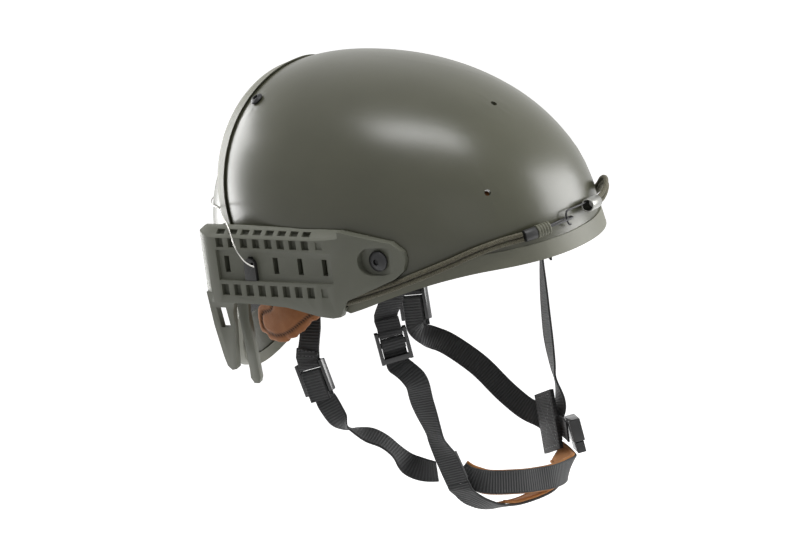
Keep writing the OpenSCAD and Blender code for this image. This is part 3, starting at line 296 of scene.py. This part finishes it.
def braid(name, colour):
    """Braided cord: crossed strands seen as small slanted cells."""
    finish = Finish(name, Sheen_Weight=0.2, Specular_Ior_Level=0.3)
    slanted = finish.place(scale=(1, 1, 1.6), turn=(0.5, 0.4, 0))
    strands = finish.cells(0.75 * MM, slanted).step(0.0, 0.7)
    rubbed = finish.noise(5 * MM, 3)
    tone = finish.shade(toned(colour, 1.35), toned(colour, 0.4), strands * 0.8 + rubbed * 0.2)
    finish.paint(tone, 0.7 + rubbed * 0.15, 1 - strands, 0.3 * MM)
    return finish


SHELL = moulded("olive_shell", (0.062, 0.0625, 0.038), 0.33, Specular_Ior_Level=0.5)
RAIL = moulded("rail_plastic", (0.115, 0.118, 0.09), 0.5, grain=0.6 * MM, depth=0.05 * MM)
TRIM = moulded("edge_trim", (0.13, 0.13, 0.095), 0.55, grain=0.7 * MM, depth=0.04 * MM)
BLACK_STEEL = metal("black_steel", (0.035, 0.035, 0.036), 0.42, 0.7)
STEEL = metal("bright_steel", (0.56, 0.55, 0.52), 0.3)
SATIN_STEEL = metal("satin_ferrule", (0.3, 0.3, 0.28), 0.38)
CORD = braid("bungee_braid", (0.2, 0.185, 0.125))
SLEEVE = moulded("black_sleeve", (0.012, 0.012, 0.012), 0.5)
PLUG = moulded("plug_plastic", (0.009, 0.009, 0.009), 0.6)
FOAM = cloth("foam_cover", (0.012, 0.012, 0.013))
SUEDE = suede("tan_suede", (0.31, 0.125, 0.045))
BAND_SUEDE = suede("band_suede", (0.43, 0.19, 0.06))
HOOK_TAPE = cloth("hook_tape", (0.01, 0.01, 0.01), 0.9 * MM)
WEB = webbing("strap_web", "UV", (0.022, 0.0225, 0.023))
HANGING_WEB = webbing("anchor_web", "Object", (0.012, 0.012, 0.0125))
THREAD = moulded("thread", (0.085, 0.085, 0.088), 0.5, grain=0.3 * MM)
BUCKLE = moulded("buckle_plastic", (0.013, 0.013, 0.014), 0.24, depth=0.015 * MM)


def only(piece):
    """Makes the piece the one selected, active object."""
    bpy.ops.object.select_all(action="DESELECT")
    piece.select_set(True)
    bpy.context.view_layer.objects.active = piece


def in_edit(piece, *steps):
    """Runs mesh operators on all of the piece in edit mode."""
    only(piece)
    bpy.ops.object.mode_set(mode="EDIT")
    bpy.ops.mesh.select_all(action="SELECT")
    for operator, settings in steps:
        operator(**settings)
    bpy.ops.object.mode_set(mode="OBJECT")


def apply_modifier(piece, kind, **settings):
    modifier = piece.modifiers.new(kind.title(), kind)
    for key, value in settings.items():
        setattr(modifier, key, value)
    only(piece)
    bpy.ops.object.modifier_apply(modifier=modifier.name)


def smooth(piece, degrees=35):
    only(piece)
    bpy.ops.object.shade_smooth_by_angle(angle=math.radians(degrees))


def merged_copy(node, name):
    """A copy of a CAD node's mesh with its doubles merged."""
    piece = bpy.data.objects.new(name, nodes[node].data.copy())
    scene.collection.objects.link(piece)
    piece.data.materials.clear()
    in_edit(piece, (bpy.ops.mesh.remove_doubles, {"threshold": DOUBLES}))
    return piece


def wear(piece, finish, node):
    """Gives the piece its finish and its body, and hides the node that it stands for."""
    if not piece.data.materials:
        piece.data.materials.append(finish.material)
    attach(piece, nodes[node]["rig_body"])
    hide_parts(node)
    return piece


def edge_rounded(node, finish, radius=0.5 * MM, segments=2):
    """A hard piece: the node's shape with its sharp edges broken."""
    piece = merged_copy(node, node + "_piece")
    in_edit(piece, (bpy.ops.mesh.dissolve_limited, {"angle_limit": math.radians(1.5)}))
    apply_modifier(piece, "BEVEL", width=radius, segments=segments, limit_method="ANGLE",
                   angle_limit=math.radians(32), use_clamp_overlap=True, harden_normals=False)
    smooth(piece)
    return wear(piece, finish, node)


def skinned(node, finish, levels=1, sharp=38):
    """A curved skin or cord: the node's shape, smoothed between its sharp edges."""
    piece = merged_copy(node, node + "_piece")
    pairing = {"face_threshold": math.radians(50), "shape_threshold": math.radians(70)}
    in_edit(piece, (bpy.ops.mesh.tris_convert_to_quads, pairing))
    mesh = bmesh.new()
    mesh.from_mesh(piece.data)
    layers = mesh.edges.layers.float
    crease = layers.get("crease_edge") or layers.new("crease_edge")
    for edge in mesh.edges:
        if len(edge.link_faces) != 2 or edge.calc_face_angle() > math.radians(sharp):
            edge[crease] = 1
    mesh.to_mesh(piece.data)
    mesh.free()
    apply_modifier(piece, "SUBSURF", levels=levels, render_levels=levels)
    smooth(piece, 30)
    return wear(piece, finish, node)


# An edge of a strap's solid is as long as the strap is wide or thick to within this
SAME_LENGTH = 4e-6


# Straps: the node's cross-sections, in order, carry a woven band with selvedges
def strap_sections(node, width, thick):
    """Middle, half width and half thickness vectors of each cross-section of a swept strap."""
    mesh = bmesh.new()
    mesh.from_mesh(nodes[node].data)
    bmesh.ops.remove_doubles(mesh, verts=mesh.verts, dist=DOUBLES)
    edge_of = {}
    for edge in mesh.edges:
        length = edge.calc_length()
        for kind, wanted in (("thick", thick), ("wide", width)):
            if abs(length - wanted) < SAME_LENGTH:
                for vertex in edge.verts:
                    edge_of[vertex, kind] = edge.other_vert(vertex)

    def ring(vertex):
        across = edge_of[vertex, "wide"]
        return [vertex, edge_of[vertex, "thick"], edge_of[across, "thick"], across]

    def onward(section, done):
        for edge in sorted(section[0].link_edges, key=lambda e: e.calc_length()):
            other = edge.other_vert(section[0])
            if other not in section and other not in done:
                return ring(other)
        return None

    corners = [v for v in mesh.verts if (v, "wide") in edge_of and (v, "thick") in edge_of]
    sections, done = [], set()
    section = ring(next(v for v in corners if is_end(v, ring)))
    while section:
        done.update(section)
        sections.append([v.co.copy() for v in section])
        section = onward(section, done)
    mesh.free()
    return [
        ((a + b + c + d) / 4, (c + d - a - b) / 4, (b + c - a - d) / 4)
        for a, b, c, d in sections
    ]


def is_end(vertex, ring):
    """True where a corner belongs to the strap's first or last cross-section."""
    section = ring(vertex)
    reached = {e.other_vert(v) for v in section for e in v.link_edges} - set(section)
    return len(reached) == 4


def between(points, steps):
    """Points on a smooth curve through the given ones."""
    made = []
    last = len(points) - 1
    for i in range(last):
        p0, p1, p2, p3 = (points[min(max(i + k, 0), last)] for k in (-1, 0, 1, 2))
        for s in range(steps):
            t = s / steps
            made.append(0.5 * (2 * p1 + (p2 - p0) * t + (2 * p0 - 5 * p1 + 4 * p2 - p3) * t * t
                               + (3 * p1 - p0 - 3 * p2 + p3) * t ** 3))
    return made + [points[-1]]


# Half of a woven band's profile: share of the half width and of the half thickness
BAND = [(-1, 0.2), (-0.985, 0.7), (-0.95, 1), (-0.86, 1), (-0.8, 0.82), (-0.4, 0.86), (0, 0.9),
        (0.4, 0.86), (0.8, 0.82), (0.86, 1), (0.95, 1), (0.985, 0.7), (1, 0.2)]
# A lining: rolled edges that stand out past the band, with a sewn line inside each
LINING = [(-1.14, 0.3), (-1.1, 1.1), (-1, 1.5), (-0.9, 1.2), (-0.84, 0.6), (-0.7, 0.95), (-0.4, 1),
          (0, 1), (0.4, 1), (0.7, 0.95), (0.84, 0.6), (0.9, 1.2), (1, 1.5), (1.1, 1.1), (1.14, 0.3)]


def strap(node, finish, width=16 * MM, thick=1.4 * MM, profile=BAND, steps=3, tail=0):
    """A woven band along the node, from its upper end, less the sections of a tail that is tucked away."""
    sections = strap_sections(node, width, thick)
    if sections[0][0].z < sections[-1][0].z:
        sections.reverse()
    sections = sections[tail:]
    middles, sides, faces = (between([s[k] for s in sections], steps) for k in range(3))
    shape = profile + [(s, -h) for s, h in reversed(profile)]
    mesh = bmesh.new()
    uv = mesh.loops.layers.uv.new("UVMap")
    rows, down = [], [0.0]
    for i, (middle, side, face) in enumerate(zip(middles, sides, faces)):
        side = side.normalized() * width / 2
        face = face.normalized() * thick / 2
        rows.append([mesh.verts.new(middle + side * s + face * h) for s, h in shape])
        if i:
            down.append(down[-1] + (middle - middles[i - 1]).length)
    count = len(shape)
    for i in range(len(rows) - 1):
        for k in range(count):
            after = (k + 1) % count
            corners = [(i, k), (i, after), (i + 1, after), (i + 1, k)]
            made = mesh.faces.new([rows[r][c] for r, c in corners])
            for loop, (r, c) in zip(made.loops, corners):
                loop[uv].uv = (down[r], shape[c][0])
    mesh.faces.new(rows[0])
    mesh.faces.new(list(reversed(rows[-1])))
    bmesh.ops.recalc_face_normals(mesh, faces=mesh.faces)
    data = bpy.data.meshes.new(node + "_piece")
    mesh.to_mesh(data)
    mesh.free()
    piece = bpy.data.objects.new(node + "_piece", data)
    scene.collection.objects.link(piece)
    smooth(piece, 60)
    data.materials.append(finish.material)
    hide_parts(node)
    return piece


# A face looks one way when its normal has this share of it, and is large enough to sew on from this area
FACING_SHARE = 0.6
SEWN_AREA = 30 * MM * MM


# Stitching: one stitch is modelled, then repeated along each row
def flat_face(node, facing, near):
    """The flat face nearest a place, of those that look one way.

    Gives its middle, its long and short halves, and its normal.
    """
    probe = merged_copy(node, "probe")
    in_edit(probe, (bpy.ops.mesh.dissolve_limited, {"angle_limit": math.radians(1)}))
    near = Vector(near)
    facing = Vector(facing)
    faces = [
        f for f in probe.data.polygons
        if f.normal.dot(facing) > FACING_SHARE and f.area > SEWN_AREA
    ]
    face = min(faces, key=lambda f: (f.center - near).length)
    corners = [probe.data.vertices[i].co for i in face.vertices]
    sides = [b - a for a, b in zip(corners, corners[1:] + corners[:1])]
    long = max(sides, key=lambda side: side.length).normalized()
    normal = face.normal.copy()
    short = normal.cross(long)
    spans = []
    for way in (long, short):
        reach = [c.dot(way) for c in corners]
        spans.append((way * (max(reach) - min(reach)) / 2, (max(reach) + min(reach)) / 2))
    middle = long * spans[0][1] + short * spans[1][1] + normal * corners[0].dot(normal)
    bpy.data.objects.remove(probe)
    return middle, spans[0][0], spans[1][0], normal


def stitch_row(start, end, out, length=2.0 * MM, gap=0.7 * MM, thick=0.55 * MM):
    """A row of thread stitches, half sunk in the webbing."""
    way = end - start
    count = max(2, round(way.length / (length + gap)))
    bpy.ops.object.select_all(action="DESELECT")
    bpy.ops.mesh.primitive_uv_sphere_add(segments=8, ring_count=5, radius=0.5)
    row = bpy.context.object
    row.scale = (length, thick, thick * 0.7)
    only(row)
    bpy.ops.object.transform_apply(location=False, rotation=False, scale=True)
    apply_modifier(row, "ARRAY", count=count, use_relative_offset=False, use_constant_offset=True,
                   constant_offset_displace=(way.length / count, 0, 0))
    along = way.normalized()
    across = out.cross(along).normalized()
    turn = Matrix((along, across, along.cross(across))).transposed().to_4x4()
    row.matrix_world = Matrix.Translation(start + along * (way.length / count / 2)) @ turn
    only(row)
    bpy.ops.object.transform_apply(location=True, rotation=True, scale=True)
    return row


def stitched(name, node, facing, near, rows, finish):
    """Rows of stitches on a flat face of a node."""
    middle, long, short, normal = flat_face(node, facing, near)
    made = []
    for u0, v0, u1, v1 in rows:
        start = middle + long * u0 + short * v0
        end = middle + long * u1 + short * v1
        made.append(stitch_row(start, end, normal))
    bpy.ops.object.select_all(action="DESELECT")
    for row in made:
        row.select_set(True)
    bpy.context.view_layer.objects.active = made[0]
    bpy.ops.object.join()
    piece = bpy.context.object
    piece.name = name
    smooth(piece, 60)
    piece.data.materials.append(finish.material)
    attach(piece, nodes[node]["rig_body"])
    return piece


# Rows of stitches in shares of a face's halves: along and across where a row starts, then where it ends
BOX = [(-0.86, -0.78, 0.86, -0.78), (0.86, -0.78, 0.86, 0.78),
       (0.86, 0.78, -0.86, 0.78), (-0.86, 0.78, -0.86, -0.78)]
CROSS = [(-0.8, -0.7, 0.8, 0.7), (-0.8, 0.7, 0.8, -0.7)]
BAR_TACKS = [(-0.85, -0.55, 0.85, -0.55), (-0.85, 0.55, 0.85, 0.55)]


def flattened(spot, flat):
    """The spot with its coordinate along one axis left out."""
    return Vector([0 if k == flat else spot[k] for k in range(3)])


def rim_of(piece, flat, pitch=1 * MM):
    """Points along the line where the piece turns from its outer to its inner side, seen along an axis."""
    mesh = bmesh.new()
    mesh.from_mesh(piece.data)
    mesh.normal_update()
    spots = []
    for edge in mesh.edges:
        sides = [face.normal[flat] for face in edge.link_faces]
        if len(sides) == 2 and sides[0] * sides[1] < 0:
            a, b = (flattened(v.co, flat) for v in edge.verts)
            steps = max(1, math.ceil((b - a).length / pitch))
            spots += [a.lerp(b, s / steps) for s in range(steps)]
    mesh.free()
    rim = kdtree.KDTree(len(spots))
    for i, spot in enumerate(spots):
        rim.insert(spot, i)
    rim.balance()
    return rim


def sew_border(piece, rim, flat, inset, groove=1.1 * MM, spread=1.3 * MM):
    """Draws the piece in along a line that runs inside its rim, and marks that line as a seam."""
    mark = piece.data.attributes.new(SEAM, "FLOAT", "POINT")
    for vertex in piece.data.vertices:
        reach = rim.find(flattened(vertex.co, flat))[2]
        pull = math.exp(-((reach - inset) / spread) ** 2)
        mark.data[vertex.index].value = pull
        vertex.co -= vertex.normal * groove * pull


PRESSURE = 4
PUFF_STEPS = 20


# Pads: pressed up by cloth simulation. Those that are flat along an axis get a sewn border
def pad(node, finish, voxel=4.5 * MM, cap=1.6 * MM, flat=None, inset=8 * MM):
    piece = merged_copy(node, node + "_piece")
    rim = None if flat is None else rim_of(piece, flat)
    apply_modifier(piece, "REMESH", mode="VOXEL", voxel_size=voxel)
    before = [v.co.copy() for v in piece.data.vertices]
    puff = piece.modifiers.new("Cloth", "CLOTH")
    puff.settings.use_pressure = True
    puff.settings.uniform_pressure_force = PRESSURE
    puff.settings.effector_weights.gravity = 0
    for step in range(1, PUFF_STEPS + 1):
        scene.frame_set(step)
    only(piece)
    bpy.ops.object.modifier_apply(modifier=puff.name)
    for vertex, old in zip(piece.data.vertices, before):
        move = vertex.co - old
        if move.length > cap:
            vertex.co = old + move * (cap / move.length)
    scene.frame_set(1)
    # The remesh leaves steps along a thin rim
    apply_modifier(piece, "SMOOTH", factor=0.5, iterations=3)
    levels = 1 if flat is None else 2
    apply_modifier(piece, "SUBSURF", levels=levels, render_levels=levels)
    if flat is not None:
        sew_border(piece, rim, flat, inset)
    smooth(piece, 60)
    return wear(piece, finish, node)


# Middles of the sewn faces
LEFT_JUNCTION = (0.0599, 0.0613, -0.1749)
RIGHT_JUNCTION = (0.054, -0.0545, -0.1712)
RIGHT_REAR_ANCHOR = (-0.0313, -0.0855, -0.0857)
# Down to the first place a strap follows the helmet, and from the second on it follows the harness
STRAP_BLENDS = {
    "right_front_strap": ((0.042, -0.085, -0.08), (0.054, -0.066, -0.146)),
    "left_front_strap": ((0.057, 0.082, -0.068), (0.062, 0.073, -0.148)),
    "right_rear_strap": ((-0.027, -0.084, -0.106), (0.004, -0.073, -0.149)),
    "left_rear_strap": ((-0.051, 0.078, -0.103), (0.002, 0.07, -0.138)),
}
# Sections at a strap's upper end that are tucked away behind its lock
STRAP_TAILS = {"right_front_strap": 2}
# The same two places for the chin bands, between the harness and the buckle's plug
CHIN_BLEND = ((0.06, -0.02, -0.2), (0.08, 0.05, -0.2))


def shells_and_rails():
    for node in ("front_shell", "rear_shell"):
        skinned(node, SHELL, 2)
    for node in ("brow_trim", "seam_trim", "nape_trim"):
        skinned(node, TRIM, 2)
    for node in ("right_rail", "left_rail"):
        edge_rounded(node, RAIL, 0.55 * MM)
    for node in ("rail_bolts", "crown_bolts", "anchor_screws"):
        edge_rounded(node, BLACK_STEEL, 0.3 * MM)
    for node in ("rail_nuts", "crown_spacers", "crown_nuts"):
        edge_rounded(node, STEEL, 0.3 * MM)


def bungee_and_wires():
    for node in ("right_bungee", "left_bungee"):
        skinned(node, CORD, 2)
    edge_rounded("bungee_sleeve", SLEEVE, 0.5 * MM)
    edge_rounded("bungee_collar", TRIM, 0.2 * MM)
    edge_rounded("bungee_ferrule", SATIN_STEEL, 0.3 * MM)
    for node in ("loop_wire", "hook_wire"):
        skinned(node, BLACK_STEEL, 2)
    skinned("back_wire", STEEL, 1)
    for node in ("right_wire_plug", "left_wire_plug"):
        edge_rounded(node, PLUG, 0.4 * MM)


def pads():
    for node in ("brow_pad", "crown_pad", "nape_pad"):
        pad(node, FOAM)
    for node in ("right_side_pad", "left_side_pad"):
        pad(node, SUEDE, flat=1)
    edge_rounded("pad_discs", HOOK_TAPE, 0.3 * MM)


def locks_and_anchors():
    for node in ("right_front_anchor", "left_front_anchor", "right_rear_anchor", "left_rear_anchor"):
        edge_rounded(node, HANGING_WEB, 0.3 * MM)
    for node in ("right_front_lock", "left_front_lock", "right_rear_lock", "left_rear_lock"):
        edge_rounded(node, BUCKLE, 0.7 * MM, 3)
    for node in ("buckle_socket", "buckle_plug"):
        edge_rounded(node, BUCKLE, 0.8 * MM, 3)
    for node in ("right_junction", "left_junction"):
        edge_rounded(node, HANGING_WEB, 0.4 * MM)


def stitches():
    to_left, to_right = (0, 1, 0), (0, -1, 0)
    for name, node, facing, near, rows in (
        ("left_junction_inner_stitches", "left_junction", to_right, LEFT_JUNCTION, BOX + CROSS),
        ("left_junction_outer_stitches", "left_junction", to_left, LEFT_JUNCTION, BOX + CROSS),
        ("right_junction_outer_stitches", "right_junction", to_right, RIGHT_JUNCTION, BOX + CROSS),
        ("right_rear_anchor_stitches", "right_rear_anchor", to_right, RIGHT_REAR_ANCHOR, BAR_TACKS),
    ):
        stitched(name, node, facing, near, rows, THREAD)


def straps():
    for node, (start, end) in STRAP_BLENDS.items():
        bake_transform(strap(node, WEB, tail=STRAP_TAILS.get(node, 0)), "helmet", "harness", start, end)
    for node in ("upper_chin_band", "lower_chin_band"):
        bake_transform(strap(node, WEB), "harness", "buckle_plug", *CHIN_BLEND)
    for node in ("upper_chin_lining", "lower_chin_lining"):
        piece = strap(node, BAND_SUEDE, 15 * MM, 1.6 * MM, LINING)
        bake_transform(piece, "harness", "buckle_plug", *CHIN_BLEND)


def build():
    shells_and_rails()
    bungee_and_wires()
    pads()
    locks_and_anchors()
    stitches()
    straps()


FLOOR_GLOW = 0.85
WORLD_FILL = 0.22
# Place, width and height, and watts of each softbox
LAMPS = {
    "overhead": ((0.25, -0.15, 1.47), (1.0, 0.36), 13),
    "front_fill": ((1.6, -1.6, 0.7), (1.2, 1.2), 1.5),
    "right_edge": ((1.25, 1.2, 0.3), (0.9, 1.3), 30),
    "left_edge": ((-1.5, 0.1, 0.2), (0.9, 1.3), 30),
}


def studio():
    """Pale floor far below the hanging straps, a white surround and soft lamps."""
    bpy.ops.mesh.primitive_plane_add(size=12, location=(0, 0, -0.75))
    floor = bpy.context.object
    floor.name = "floor"
    ground = Finish("pale_floor", Base_Color=(0.85, 0.85, 0.85, 1), Roughness=0.9)
    seen = ground.node("LightPath", {}, {}, "Is Camera Ray")
    mirrored = ground.node("LightPath", {}, {}, "Is Glossy Ray")
    glow = ground.node("Emission", {}, {"Strength": (seen + mirrored) * FLOOR_GLOW})
    lit = ground.node("AddShader", {}, {0: Value(ground, ground.shader.outputs[0]), 1: glow})
    ground.tree.links.new(lit.socket, ground.tree.nodes["Material Output"].inputs["Surface"])
    floor.data.materials.append(ground.material)

    world = bpy.data.worlds.new("surround")
    world.use_nodes = True
    scene.world = world
    tree = world.node_tree
    path = tree.nodes.new("ShaderNodeLightPath")
    strength = path.outputs["Is Camera Ray"]
    for name in ("Is Glossy Ray", "Is Transmission Ray"):
        either = tree.nodes.new("ShaderNodeMath")
        either.operation = "MAXIMUM"
        tree.links.new(strength, either.inputs[0])
        tree.links.new(path.outputs[name], either.inputs[1])
        strength = either.outputs[0]
    level = tree.nodes.new("ShaderNodeMapRange")
    level.inputs["To Min"].default_value = WORLD_FILL
    level.inputs["To Max"].default_value = 1.0
    tree.links.new(strength, level.inputs["Value"])
    tree.links.new(level.outputs[0], tree.nodes["Background"].inputs["Strength"])
    tree.nodes["Background"].inputs["Color"].default_value = (1, 1, 1, 1)

    for name, (spot, size, watts) in LAMPS.items():
        softbox(name, spot, size, watts)


place_camera()
studio()
build()

scene.view_settings.view_transform = "Standard"
